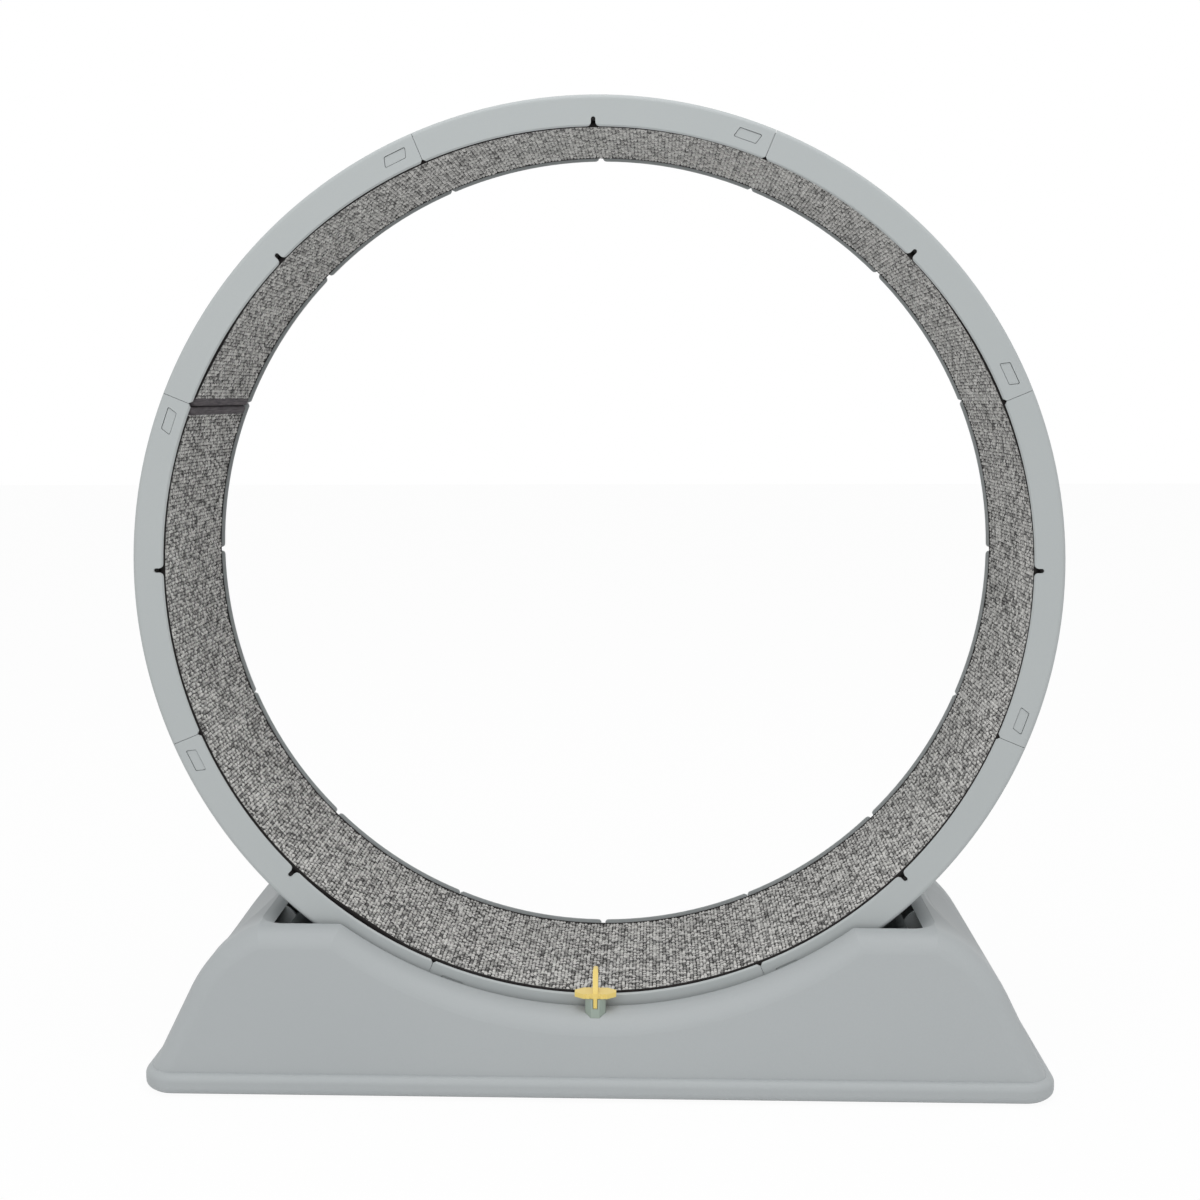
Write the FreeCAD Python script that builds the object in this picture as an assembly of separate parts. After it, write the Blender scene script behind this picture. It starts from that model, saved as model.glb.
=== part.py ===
import FreeCAD
import Part
import os
from math import asin, cos, degrees, hypot, pi, radians, sin, sqrt, tan
from FreeCAD import Vector

# Running wheel for a cat, in millimetres.
# The frame stands on the floor: +Z is up, -Y is the side with the lock, and the origin lies on the floor
# under the middle of the wheel. The wheel turns about a line along Y, and angles on it are counted in
# degrees clockwise from its top, as seen from the lock's side.

# ---- Driving dimensions: the wheel ----
WHEEL_RADIUS = 500.0            # running surface of the rim on the rollers
WHEEL_WIDTH = 250.0             # over the two flanges
FLANGE_HEIGHT = 33.0            # radial height of a flange, from the running surface to the lip
RIM_WALL = 3.0                  # moulded wall of skin and flanges
RIM_EDGE_RADIUS = 5.0           # rounding between running surface and flange
LIP_CHAMFER = 1.4               # broken edge of the lip
SEGMENT_COUNT = 8
JOINT_GAP = 0.5                 # between the end faces of two segments
JOINT_CHAMFER = 3.0             # broken corner of a lip at a joint
RIBS_PER_SEGMENT = 5
RIB_WALL = 2.5
NOTCH_WIDTH = 4.8               # slot in each lip that takes the lock's nose
NOTCH_DEPTH = 10.0
NOTCH_MOUTH_RADIUS = 4.5

# ---- Driving dimensions: the snap joint between two segments ----
TONGUE_LENGTH = 42.0            # reach into the next segment
TONGUE_WALL = 2.8
TONGUE_GAP = 0.3                # to the flange and the skin of the next segment
TONGUE_ROOT = 14.0              # length over which the tongue is joined to its own flange
WINDOW_LENGTH = 25.0
WINDOW_HEIGHT = 11.0
WINDOW_SKEW = 0.35              # sideways shift of the slanted ends per unit of height
WINDOW_CORNER = 1.5
WINDOW_FROM_JOINT = 25.5        # centre of the window, measured along the flange
WINDOW_FROM_LIP = 16.5          # centre of the window, above the lip
CATCH_GAP = 0.6                 # around the catch in its window
CATCH_RECESS = 0.8              # catch below the face of the flange

# ---- Driving dimensions: the running track ----
BACKING_THICKNESS = 1.3
PILE_THICKNESS = 6.5
TRACK_SEAT_GAP = 0.3            # between rib tops and backing
TRACK_LAYER_GAP = 0.3           # between backing and pile
BACKING_SIDE_GAP = 1.0          # from the backing's edge to the flange
PILE_FRONT_GAP = 14.0           # from the pile's edge to the flange on the lock's side
PILE_REAR_GAP = 3.5
TRACK_DEPTH = 11.0              # from the lip down to the rib tops
SEAM_ANGLE = 292.0
SEAM_GAP = 1.2
BINDING_LENGTH = 10.0
BINDING_RAISE = 0.6             # the bound ends stand this much above the pile

# ---- Driving dimensions: the rollers ----
ROLLER_RADIUS = 24.0
ROLLER_ANGLE = 33.0             # from the lowest point of the wheel, either way
ROLLING_GAP = 0.3               # between tyre and rim
TYRE_THICKNESS = 5.0
FLANGE_REACH = 7.0              # the hub's guide flange above the tyre
GUIDE_WALL = 3.0
GUIDE_GAP = 1.0                 # between guide flange and the rim's flange
HUB_LENGTH = 31.0               # with its guide flange
TYRE_END_GAP = 0.4
TYRE_WIDTH = 26.0
AXLE_RADIUS = 4.0
AXLE_RUNNING_GAP = 0.05
BEARING_RADIUS = 11.0
BEARING_WIDTH = 7.0
BEARING_SEAT_GAP = 0.03
HUB_WEB_STEP = 1.5              # shoulder behind each bearing
SLEEVE_WALL = 2.4
SLEEVE_BORE_GAP = 0.2
SLEEVE_END_GAP = 0.4
AXLE_OVERHANG = 5.5             # past the outer face of a bracket ear
CLIP_WALL = 1.0
CLIP_GROOVE_DEPTH = 0.8
CLIP_RIM = 3.0
CLIP_GAP = 0.1
CLIP_MOUTH = 5.0

# ---- Driving dimensions: the brackets under the rollers ----
BRACKET_WALL = 4.0
BRACKET_LENGTH = 96.0
EAR_WIDTH = 34.0
EAR_ABOVE_AXLE = 14.0
EAR_GAP = 1.0                   # from the trough's wall
BRACKET_SCREW_SPACING_X = 84.0
BRACKET_SCREW_SPACING_Y = 200.0

# ---- Driving dimensions: the stand ----
WHEEL_LIFT = 68.0               # from the floor to the lowest point of the wheel
STAND_HEIGHT = 180.0
STAND_WALL = 4.0
FOOT_HEIGHT = 3.0
BEAD_HEIGHT = 25.0
BEAD_STEP = 7.5                 # the bead stands this much proud of the wall above it
BEAD_LAP = 4.0                  # the wall above reaches this far down into the bead
BEAD_CORNER_RADIUS = 36.0
BEAD_EDGE_RADIUS = 8.0
RIDGE_FROM_ROLLER = 83.4        # from a roller's axle out to the ridge of its end
END_SLOPE = 64.2                # of the end walls, from the floor
SHOULDER_RADIUS = 140.0
SHOULDER_RUN = 41.6             # the end wall, carried on up to the top, ends this far outside the ridge
SIDE_LEAN = 5.8                 # of the front and back walls, from upright
EDGE_RADIUS = 24.0              # soft edge around the front and the back wall
CORE_BEVEL = 0.7                # bevel inside the wall, as a share of the rounding outside it
VALLEY_ABOVE_LIP = 11.0         # edge of the walls beside the wheel, outside its lip
SIDE_GAP = 6.0                  # from the rim's flange to the trough's wall
SIDE_RUN = 44.0                 # from the trough's wall to the outside of the bead
TROUGH_GAP = 15.0               # from the wheel to the trough's floor under it
END_ROLL_RADIUS = 28.0          # soft edge from the ridge down into the trough
RIDGE_DROP = 1.0                # the ridge of an end lies this much below the walls beside it
POCKET_FROM_ROLLER = 55.5       # from a roller's axle in to the start of its pocket
POCKET_FLOOR = 87.0
SCOOP_DEPTH = 7.0               # hand recess in each end
WINDOW_MARGIN = 5.5             # beside the rollers, in the pocket's floor
AXLE_SLOT_WIDTH = 16.0
BOSS_RADIUS = 5.0
BOSS_HEIGHT = 7.0
STAND_RIB_WALL = 3.0
STAND_RIB_PLACES = (75.0, 175.0)
END_RIB_PLACE = 60.0
BASE_WALL = 3.0
BASE_MARGIN = 5.0               # from the bead's outside to the base plate
BASE_SEAT_GAP = 0.3
BASE_BOSS_RADIUS = 5.5
BASE_BOSS_DEPTH = 20.0
BASE_BOSS_FROM_RIDGE = 60.0
FOOT_RADIUS = 16.0
FOOT_INSET_X = 55.0
FOOT_INSET_Y = 40.0
SCREW_RADIUS = 1.9
SCREW_HEAD_RADIUS = 3.6
SCREW_HEAD_HEIGHT = 1.8
SCREW_LENGTH = 12.0
SCREW_HOLE_GAP = 0.3

# ---- Driving dimensions: the lock ----
GUIDE_WIDTH = 22.0              # across the flats of the eight-sided guide
GUIDE_ABOVE_LIP = 4.5
GUIDE_ROOT = 14.0               # length below the edge of the wall
GUIDE_FIT_GAP = 0.3
KEY_SLOT_WIDTH = 5.4
KEY_BLADE_WALL = 4.2
KEY_NOSE_GAP = 1.5              # from the nose to the rim's flange at rest
KEY_TRAVEL = 5.5                # from rest until the nose is through the rim's flange
KEY_STOP_GAP = 0.5              # from the thumb plate to the flange when the key is in
KEY_BLADE_DEPTH = 10.0          # from the guide's top down
KEY_SLOT_END_GAP = 0.4
KEY_PLATE_LENGTH = 45.0
KEY_PLATE_DEPTH = 20.5
KEY_PLATE_WALL = 5.2
KEY_PLATE_CORNER = 10.0         # length of its slanted corners along X
KEY_PLATE_END = 7.0             # width of its ends
KEY_PLATE_LIFT = 0.4            # above the guide
KEY_GRIP_COUNT = 5
KEY_GRIP_RADIUS = 1.6
KEY_FIN_HEIGHT = 24.5           # above the plate
KEY_FIN_WALL = 5.6
KEY_FIN_TIP = 9.0               # length of the fin's top edge
KEY_CREST_RADIUS = 2.5

# ---- Places that follow ----
ORIGIN = Vector(0, 0, 0)
ALONG_X = Vector(1, 0, 0)
ALONG_Y = Vector(0, 1, 0)
ALONG_Z = Vector(0, 0, 1)
EXTRA = 1.0                     # cutters reach this far past what they cut

LIP_RADIUS = WHEEL_RADIUS - FLANGE_HEIGHT
SKIN_RADIUS = WHEEL_RADIUS - RIM_WALL
TRACK_RADIUS = LIP_RADIUS + TRACK_DEPTH
FACE = WHEEL_WIDTH / 2
FLANGE_INSIDE = FACE - RIM_WALL
SEGMENT_ANGLE = 360.0 / SEGMENT_COUNT
JOINT_HALF_ANGLE = degrees(asin(JOINT_GAP / 2 / LIP_RADIUS))
RIB_PITCH = SEGMENT_ANGLE * (1 - 1.0 / (2 * RIBS_PER_SEGMENT)) / RIBS_PER_SEGMENT
WINDOW_RADIUS = LIP_RADIUS + WINDOW_FROM_LIP
WINDOW_ANGLE = degrees(WINDOW_FROM_JOINT / WINDOW_RADIUS)
TONGUE_ANGLE = degrees(TONGUE_LENGTH / WINDOW_RADIUS)
TONGUE_ROOT_ANGLE = degrees(TONGUE_ROOT / WINDOW_RADIUS)
TONGUE_OUTSIDE = FLANGE_INSIDE - TONGUE_GAP
TONGUE_INSIDE = TONGUE_OUTSIDE - TONGUE_WALL

WHEEL_CENTRE_HEIGHT = WHEEL_LIFT + WHEEL_RADIUS
ROLLER_CENTRE_RADIUS = WHEEL_RADIUS + ROLLING_GAP + ROLLER_RADIUS
ROLLER_X = ROLLER_CENTRE_RADIUS * sin(radians(ROLLER_ANGLE))
ROLLER_Z = WHEEL_CENTRE_HEIGHT - ROLLER_CENTRE_RADIUS * cos(radians(ROLLER_ANGLE))
GUIDE_INSIDE = FACE + GUIDE_GAP
HUB_OUTSIDE = GUIDE_INSIDE + GUIDE_WALL
HUB_INSIDE = HUB_OUTSIDE - HUB_LENGTH
CORE_RADIUS = ROLLER_RADIUS - TYRE_THICKNESS

RIDGE_HALF_LENGTH = ROLLER_X + RIDGE_FROM_ROLLER
POCKET_START = ROLLER_X - POCKET_FROM_ROLLER
VALLEY_RADIUS = LIP_RADIUS + VALLEY_ABOVE_LIP
TROUGH_RADIUS = WHEEL_RADIUS + TROUGH_GAP
TROUGH_HALF_WIDTH = FACE + SIDE_GAP
TROUGH_HALF_LENGTH = RIDGE_HALF_LENGTH - END_ROLL_RADIUS
EAR_INSIDE = TROUGH_HALF_WIDTH + STAND_WALL + EAR_GAP
EAR_OUTSIDE = EAR_INSIDE + BRACKET_WALL
BRACKET_TOP = POCKET_FLOOR - STAND_WALL
AXLE_HALF_LENGTH = EAR_OUTSIDE + AXLE_OVERHANG

BASE_TOP = FOOT_HEIGHT + BASE_WALL
WALL_FOOT = BEAD_HEIGHT - BEAD_LAP
WALL_HEIGHT = STAND_HEIGHT - WALL_FOOT
WALL_HALF_LENGTH = RIDGE_HALF_LENGTH + SHOULDER_RUN + WALL_HEIGHT / tan(radians(END_SLOPE))
STAND_LENGTH = 2 * (WALL_HALF_LENGTH + BEAD_STEP)
STAND_DEPTH = 2 * (TROUGH_HALF_WIDTH + SIDE_RUN)
WALL_HALF_DEPTH = STAND_DEPTH / 2 - BEAD_STEP

GUIDE_Y = -(TROUGH_HALF_WIDTH + GUIDE_WIDTH / 2)
GUIDE_TOP = WHEEL_CENTRE_HEIGHT - LIP_RADIUS + GUIDE_ABOVE_LIP
KEY_REAR = -(FACE + KEY_NOSE_GAP)
KEY_PLATE_REAR = -(FACE + KEY_STOP_GAP + KEY_TRAVEL)


# ---- Shapes used throughout ----
def prism(points, direction):
    """The solid of a closed polygon moved along a direction."""
    return Part.Face(Part.makePolygon(points + points[:1])).extrude(direction)


def outline_prism(edges, direction):
    """The solid of a closed outline of lines and arcs moved along a direction."""
    wire = Part.Wire([edge.toShape() for edge in edges])
    return Part.Face(wire).extrude(direction)


def block(low, high):
    """A box between two corners."""
    low_corner = Vector(*low)
    return Part.makeBox(high[0] - low[0], high[1] - low[1], high[2] - low[2], low_corner)


def turned(points, sweep=360.0, start=0.0):
    """The solid that a polygon of (y, radius) points makes when it turns about the Y axis."""
    ring = Part.Face(Part.makePolygon([Vector(0, y, radius) for y, radius in points + points[:1]]))
    ring.rotate(ORIGIN, ALONG_Y, start)
    return ring.revolve(ORIGIN, ALONG_Y, sweep)


def tube(outer, inner, low, high):
    """A tube along Y."""
    return turned([(low, inner), (low, outer), (high, outer), (high, inner)])


def post(radius, x, y, low, high):
    """An upright cylinder."""
    return Part.makeCylinder(radius, high - low, Vector(x, y, low))


def turned_clockwise(shape, angle):
    """A copy turned about the wheel's axis, which lies on the Y axis until the wheel is lifted."""
    copy = shape.copy()
    copy.rotate(ORIGIN, ALONG_Y, angle)
    return copy


def moved(shape, x, y, z):
    copy = shape.copy()
    copy.translate(Vector(x, y, z))
    return copy


def mirrored_x(shape):
    return shape.mirror(ORIGIN, ALONG_X)


def mirrored_y(shape):
    return shape.mirror(ORIGIN, ALONG_Y)


def with_mirror(shape, mirror):
    return [shape, mirror(shape)]


def edges_along(shape, direction):
    """The straight edges of a shape that run along a direction."""
    chosen = []
    for edge in shape.Edges:
        run = edge.Vertexes[-1].Point - edge.Vertexes[0].Point
        if run.Length > 0 and abs(run.normalize().dot(direction)) > 0.999:
            chosen.append(edge)
    return chosen


def joined(shapes):
    """One solid of shapes that overlap."""
    whole = shapes[0].multiFuse(shapes[1:])
    return whole.Solids[0] if len(whole.Solids) == 1 else whole


# ---- The wheel ----
def rim_profile():
    """Section of a segment: the skin under the track and a flange at each side, open inwards."""
    reach = RIM_EDGE_RADIUS * (1 - sqrt(0.5))
    points = {
        "lip_low": Vector(0, -FACE + LIP_CHAMFER, LIP_RADIUS),
        "lip_high": Vector(0, -FACE, LIP_RADIUS + LIP_CHAMFER),
        "face_end": Vector(0, -FACE, WHEEL_RADIUS - RIM_EDGE_RADIUS),
        "edge_middle": Vector(0, -FACE + reach, WHEEL_RADIUS - reach),
        "skin_start": Vector(0, -FACE + RIM_EDGE_RADIUS, WHEEL_RADIUS),
        "inner_corner": Vector(0, -FLANGE_INSIDE, SKIN_RADIUS),
        "lip_inside": Vector(0, -FLANGE_INSIDE, LIP_RADIUS),
    }
    far = {name: Vector(0, -point.y, point.z) for name, point in points.items()}
    edges = [
        Part.LineSegment(points["lip_low"], points["lip_high"]),
        Part.LineSegment(points["lip_high"], points["face_end"]),
        Part.Arc(points["face_end"], points["edge_middle"], points["skin_start"]),
        Part.LineSegment(points["skin_start"], far["skin_start"]),
        Part.Arc(far["skin_start"], far["edge_middle"], far["face_end"]),
        Part.LineSegment(far["face_end"], far["lip_high"]),
        Part.LineSegment(far["lip_high"], far["lip_low"]),
        Part.LineSegment(far["lip_low"], far["lip_inside"]),
        Part.LineSegment(far["lip_inside"], far["inner_corner"]),
        Part.LineSegment(far["inner_corner"], points["inner_corner"]),
        Part.LineSegment(points["inner_corner"], points["lip_inside"]),
        Part.LineSegment(points["lip_inside"], points["lip_low"]),
    ]
    return Part.Face(Part.Wire([edge.toShape() for edge in edges]))


def lip_notch():
    """Cutter for the slot in both lips, with a rounded mouth and a rounded end."""
    half = NOTCH_WIDTH / 2
    mouth = half + NOTCH_MOUTH_RADIUS
    mouth_bend = NOTCH_MOUTH_RADIUS * (1 - sqrt(0.5))
    end = LIP_RADIUS + NOTCH_DEPTH
    below = LIP_RADIUS - EXTRA

    def at(x, z):
        return Vector(x, -FACE - EXTRA, z)

    edges = [
        Part.LineSegment(at(-mouth, below), at(-mouth, LIP_RADIUS)),
        Part.Arc(at(-mouth, LIP_RADIUS), at(-half - mouth_bend, LIP_RADIUS + mouth_bend),
                 at(-half, LIP_RADIUS + NOTCH_MOUTH_RADIUS)),
        Part.LineSegment(at(-half, LIP_RADIUS + NOTCH_MOUTH_RADIUS), at(-half, end - half)),
        Part.Arc(at(-half, end - half), at(0, end), at(half, end - half)),
        Part.LineSegment(at(half, end - half), at(half, LIP_RADIUS + NOTCH_MOUTH_RADIUS)),
        Part.Arc(at(half, LIP_RADIUS + NOTCH_MOUTH_RADIUS),
                 at(half + mouth_bend, LIP_RADIUS + mouth_bend), at(mouth, LIP_RADIUS)),
        Part.LineSegment(at(mouth, LIP_RADIUS), at(mouth, below)),
        Part.LineSegment(at(mouth, below), at(-mouth, below)),
    ]
    return outline_prism(edges, ALONG_Y * (WHEEL_WIDTH + 2 * EXTRA))


def slanted_block(inset, low, high):
    """The window's slanted shape, smaller all round by the inset, between two places along Y."""
    half_length = WINDOW_LENGTH / 2 - inset * hypot(1, WINDOW_SKEW)
    half_height = WINDOW_HEIGHT / 2 - inset
    shift = WINDOW_SKEW * half_height
    inner = WINDOW_RADIUS - half_height
    outer = WINDOW_RADIUS + half_height
    points = [
        Vector(-half_length - shift, low, inner),
        Vector(half_length - shift, low, inner),
        Vector(half_length + shift, low, outer),
        Vector(-half_length + shift, low, outer),
    ]
    solid = prism(points, ALONG_Y * (high - low))
    return solid.makeFillet(WINDOW_CORNER - inset / 2, edges_along(solid, ALONG_Y))


def snap_tongue():
    """Tongue behind the front flange, which reaches into the segment before this one."""
    low = TRACK_RADIUS + EXTRA
    high = SKIN_RADIUS - TONGUE_GAP
    start = -SEGMENT_ANGLE / 2 - TONGUE_ANGLE
    plate = turned(
        [(-TONGUE_OUTSIDE, low), (-TONGUE_OUTSIDE, high), (-TONGUE_INSIDE, high), (-TONGUE_INSIDE, low)],
        TONGUE_ANGLE + TONGUE_ROOT_ANGLE, start)
    root = turned(
        [(-FLANGE_INSIDE - TONGUE_GAP, low), (-FLANGE_INSIDE - TONGUE_GAP, SKIN_RADIUS + TONGUE_GAP),
         (-TONGUE_INSIDE, SKIN_RADIUS + TONGUE_GAP), (-TONGUE_INSIDE, low)],
        TONGUE_ROOT_ANGLE, -SEGMENT_ANGLE / 2 + JOINT_HALF_ANGLE)
    catch = slanted_block(CATCH_GAP, -FACE + CATCH_RECESS, -TONGUE_OUTSIDE + TONGUE_WALL / 2)
    catch = turned_clockwise(catch, -SEGMENT_ANGLE / 2 - WINDOW_ANGLE)
    return joined([plate, root, catch])


def segment_rib(index):
    """Cross rib under the track; the one beside the open end leaves room for the next tongue."""
    angle = -SEGMENT_ANGLE / 2 + RIB_PITCH * (index + 0.25)
    last = index == RIBS_PER_SEGMENT - 1
    reach = TONGUE_INSIDE - TONGUE_GAP * 3 if last else FLANGE_INSIDE + RIM_WALL / 2
    rib = block((-RIB_WALL / 2, -reach, TRACK_RADIUS), (RIB_WALL / 2, reach, SKIN_RADIUS + RIM_WALL / 2))
    return turned_clockwise(rib, angle)


def joint_corner(side):
    """Cutter for the broken corner that both lips have at one end of a segment."""
    size = JOINT_CHAMFER
    points = [
        Vector(side * size, -FACE - EXTRA, LIP_RADIUS - EXTRA),
        Vector(side * size * -1, -FACE - EXTRA, LIP_RADIUS - EXTRA),
        Vector(side * size * -1, -FACE - EXTRA, LIP_RADIUS),
        Vector(0, -FACE - EXTRA, LIP_RADIUS + size),
        Vector(side * size, -FACE - EXTRA, LIP_RADIUS + size),
    ]
    cutter = prism(points, ALONG_Y * (WHEEL_WIDTH + 2 * EXTRA))
    return turned_clockwise(cutter, side * (SEGMENT_ANGLE / 2 - JOINT_HALF_ANGLE))


def rim_segment():
    """One moulded eighth of the rim, with its middle at the top of the wheel."""
    ring = rim_profile()
    ring.rotate(ORIGIN, ALONG_Y, -SEGMENT_ANGLE / 2 + JOINT_HALF_ANGLE)
    ring = ring.revolve(ORIGIN, ALONG_Y, SEGMENT_ANGLE - 2 * JOINT_HALF_ANGLE)
    ribs = [segment_rib(index) for index in range(RIBS_PER_SEGMENT)]
    tongues = with_mirror(snap_tongue(), mirrored_y)
    window = slanted_block(0, -FACE - EXTRA, -FLANGE_INSIDE + TONGUE_GAP / 2)
    window = turned_clockwise(window, SEGMENT_ANGLE / 2 - WINDOW_ANGLE)
    cutters = with_mirror(window, mirrored_y) + [lip_notch(), joint_corner(1), joint_corner(-1)]
    return joined([ring] + ribs + tongues).cut(cutters)


def track_strip(inner, outer, front, rear, first, last):
    """A curved strip of the track between two angles, clockwise from the seam."""
    points = [(front, inner), (front, outer), (rear, outer), (rear, inner)]
    return turned(points, last - first, SEAM_ANGLE + first)


def make_wheel(nodes):
    segment = rim_segment()
    for index in range(SEGMENT_COUNT):
        nodes["rim_segment_%d" % (index + 1)] = turned_clockwise(segment, index * SEGMENT_ANGLE)

    backing_outer = TRACK_RADIUS - TRACK_SEAT_GAP
    backing_inner = backing_outer - BACKING_THICKNESS
    pile_outer = backing_inner - TRACK_LAYER_GAP
    pile_inner = pile_outer - PILE_THICKNESS
    backing_edge = FLANGE_INSIDE - BACKING_SIDE_GAP
    pile_front = PILE_FRONT_GAP - FLANGE_INSIDE
    pile_rear = FLANGE_INSIDE - PILE_REAR_GAP
    gap_angle = degrees(SEAM_GAP / 2 / pile_inner)
    bound_angle = gap_angle + degrees(BINDING_LENGTH / pile_inner)
    nodes["track_backing"] = track_strip(
        backing_inner, backing_outer, -backing_edge, backing_edge, gap_angle, 360 - gap_angle)
    nodes["track_carpet"] = track_strip(
        pile_inner, pile_outer, pile_front, pile_rear, bound_angle, 360 - bound_angle)
    bound_end = track_strip(
        pile_inner - BINDING_RAISE, pile_outer, pile_front, pile_rear, gap_angle, bound_angle)
    other_end = turned_clockwise(bound_end, -gap_angle - bound_angle)
    nodes["carpet_end_bindings"] = Part.makeCompound([bound_end, other_end])


# ---- The rollers ----
def roller_hub():
    """Hub with a bearing seat in each end and a guide flange at its outer end."""
    seat = BEARING_RADIUS
    web = BEARING_RADIUS - HUB_WEB_STEP
    return turned([
        (-HUB_OUTSIDE, seat), (-HUB_OUTSIDE, ROLLER_RADIUS + FLANGE_REACH),
        (-GUIDE_INSIDE, ROLLER_RADIUS + FLANGE_REACH), (-GUIDE_INSIDE, CORE_RADIUS),
        (-HUB_INSIDE, CORE_RADIUS), (-HUB_INSIDE, seat),
        (-HUB_INSIDE - BEARING_WIDTH, seat), (-HUB_INSIDE - BEARING_WIDTH, web),
        (-HUB_OUTSIDE + BEARING_WIDTH, web), (-HUB_OUTSIDE + BEARING_WIDTH, seat)])


def bearing(low):
    """Ball bearing with flush shields, drawn as one ring."""
    return tube(BEARING_RADIUS - BEARING_SEAT_GAP, AXLE_RADIUS + AXLE_RUNNING_GAP, low, low + BEARING_WIDTH)


def make_rollers(nodes):
    tyre_outside = -GUIDE_INSIDE + TYRE_END_GAP
    tyre = tube(ROLLER_RADIUS, CORE_RADIUS, tyre_outside, tyre_outside + TYRE_WIDTH)
    bearings = Part.makeCompound([bearing(-HUB_OUTSIDE), bearing(-HUB_INSIDE - BEARING_WIDTH)])
    pieces = {"hub": roller_hub(), "tyre": tyre, "bearings": bearings}
    for end, x in (("left", -ROLLER_X), ("right", ROLLER_X)):
        for name, shape in pieces.items():
            nodes["roller_%s_%s_front" % (name, end)] = moved(shape, x, 0, ROLLER_Z)
            nodes["roller_%s_%s_rear" % (name, end)] = moved(mirrored_y(shape), x, 0, ROLLER_Z)


def axle():
    """Steel rod with a groove for a clip near each end."""
    rod = tube(AXLE_RADIUS, 0, -AXLE_HALF_LENGTH, AXLE_HALF_LENGTH)
    groove = tube(AXLE_RADIUS + EXTRA, AXLE_RADIUS - CLIP_GROOVE_DEPTH,
                  EAR_OUTSIDE + CLIP_GAP, EAR_OUTSIDE + CLIP_WALL + 3 * CLIP_GAP)
    return rod.cut(with_mirror(groove, mirrored_y))


def axle_clip():
    """Open spring clip in the axle's groove."""
    low = EAR_OUTSIDE + 2 * CLIP_GAP
    inner = AXLE_RADIUS - CLIP_GROOVE_DEPTH + CLIP_GAP
    ring = tube(AXLE_RADIUS + CLIP_RIM, inner, low, low + CLIP_WALL)
    mouth = block((-CLIP_MOUTH / 2, low - EXTRA, 0), (CLIP_MOUTH / 2, low + EXTRA * 2, AXLE_RADIUS * 2))
    return ring.cut(mouth)


def axle_sleeves():
    """Spacers that keep the rollers apart and off the bracket's ears."""
    inner = AXLE_RADIUS + SLEEVE_BORE_GAP
    outer = inner + SLEEVE_WALL
    middle = tube(outer, inner, -HUB_INSIDE + SLEEVE_END_GAP, HUB_INSIDE - SLEEVE_END_GAP)
    end = tube(outer, inner, HUB_OUTSIDE + SLEEVE_END_GAP, EAR_INSIDE - SLEEVE_END_GAP / 2)
    return Part.makeCompound([middle] + with_mirror(end, mirrored_y))


def bracket():
    """Channel that closes the pocket from below and carries the axle in its two ears."""
    low = BRACKET_TOP - BRACKET_WALL
    base = block((-BRACKET_LENGTH / 2, -EAR_OUTSIDE, low), (BRACKET_LENGTH / 2, EAR_OUTSIDE, BRACKET_TOP))
    base = base.cut([post(SCREW_RADIUS + SCREW_HOLE_GAP, x, y, low - EXTRA, BRACKET_TOP + EXTRA)
                     for x, y in bracket_screw_places()])
    ear_top = ROLLER_Z + EAR_ABOVE_AXLE
    round_radius = EAR_WIDTH / 2
    shoulder = ear_top - round_radius
    ear = block((-round_radius, EAR_INSIDE, low), (round_radius, EAR_OUTSIDE, shoulder))
    crown = moved(tube(round_radius, 0, EAR_INSIDE, EAR_OUTSIDE), 0, 0, shoulder)
    bore = moved(tube(AXLE_RADIUS + AXLE_RUNNING_GAP, 0, EAR_INSIDE - EXTRA, EAR_OUTSIDE + EXTRA),
                 0, 0, ROLLER_Z)
    ear = joined([ear, crown]).cut(bore)
    return joined([base] + with_mirror(ear, mirrored_y))


def bracket_screw_places():
    return [(sx * BRACKET_SCREW_SPACING_X / 2, sy * BRACKET_SCREW_SPACING_Y / 2)
            for sx in (-1, 1) for sy in (-1, 1)]


def screw(x, y, seat):
    """Pan head screw that points up, with its head under the seat."""
    shank = post(SCREW_RADIUS, x, y, seat, seat + SCREW_LENGTH)
    head = post(SCREW_HEAD_RADIUS, x, y, seat - SCREW_HEAD_HEIGHT, seat)
    return joined([shank, head])


def make_axles(nodes):
    rod = axle()
    clips = Part.makeCompound(with_mirror(axle_clip(), mirrored_y))
    screws = Part.makeCompound([screw(x, y, BRACKET_TOP - BRACKET_WALL) for x, y in bracket_screw_places()])
    for end, x in (("left", -ROLLER_X), ("right", ROLLER_X)):
        nodes["axle_%s" % end] = moved(rod, x, 0, ROLLER_Z)
        nodes["axle_clips_%s" % end] = moved(clips, x, 0, ROLLER_Z)
        nodes["axle_sleeves_%s" % end] = moved(axle_sleeves(), x, 0, ROLLER_Z)
        nodes["roller_bracket_%s" % end] = moved(bracket(), x, 0, 0)
        nodes["bracket_screws_%s" % end] = moved(screws, x, 0, 0)


# ---- The stand ----
def shoulder_points(inset):
    """Foot of the end wall, start and middle of its rounded shoulder, and the ridge, all on the right."""
    foot = Vector(WALL_HALF_LENGTH - inset, 0, WALL_FOOT)
    ridge = Vector(RIDGE_HALF_LENGTH - inset, 0, STAND_HEIGHT - inset)
    slope = radians(END_SLOPE)
    rise = Vector(-cos(slope), 0, sin(slope))
    inward = Vector(-sin(slope), 0, -cos(slope))
    radius = SHOULDER_RADIUS - inset
    reach = ridge - foot - inward * radius
    along = reach.dot(rise)
    run = along - sqrt(along ** 2 - reach.dot(reach) + radius ** 2)
    start = foot + rise * run
    centre = start + inward * radius
    halfway = (start - centre).normalize() + (ridge - centre).normalize()
    middle = centre + halfway.normalize() * radius
    return foot, start, middle, ridge


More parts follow.
